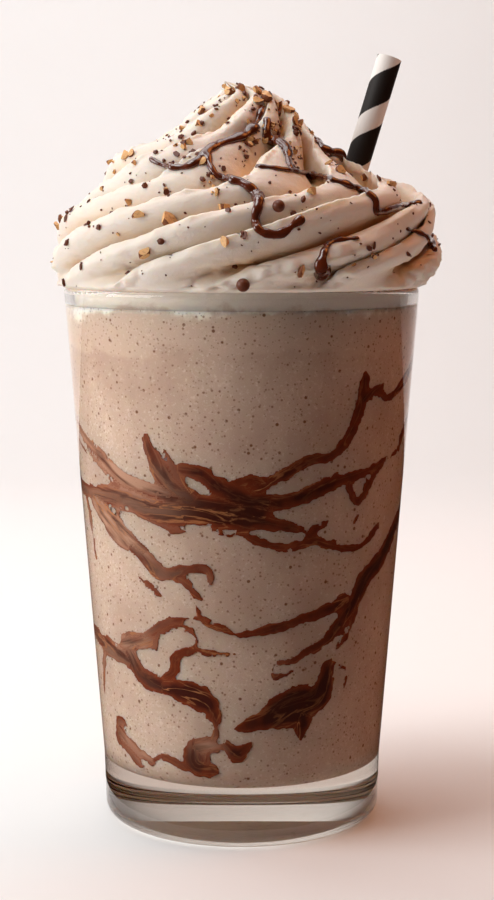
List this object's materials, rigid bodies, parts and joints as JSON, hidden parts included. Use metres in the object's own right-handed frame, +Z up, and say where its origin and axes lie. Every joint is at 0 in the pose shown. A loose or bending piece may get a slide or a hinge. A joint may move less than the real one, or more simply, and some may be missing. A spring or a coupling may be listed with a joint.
{
  "type": "chocolate milkshake",
  "caption": "Thick chocolate milkshake in a tapered clear tumbler, streaked with sauce, with piped whipped cream on top and a striped paper straw.",
  "frame": {"origin": "middle of the tumbler's foot, on the surface it stands on", "axes": "+Z up the tumbler's axis, +X to the side that the straw leans to, -Y to the side that is looked at"},
  "size_m": [0.0926, 0.0927, 0.1859],
  "materials": {
    "clear_glass": "clear, smooth",
    "milkshake": "thick foamy drink, satin",
    "whipped_cream": "soft, satin",
    "striped_paper": "matt paper with dark spiral bands"
  },
  "bodies": {
    "root": {"glass": "clear_glass", "milkshake": "milkshake", "whipped_cream": "whipped_cream", "straw": "striped_paper"}
  },
  "joints": []
}
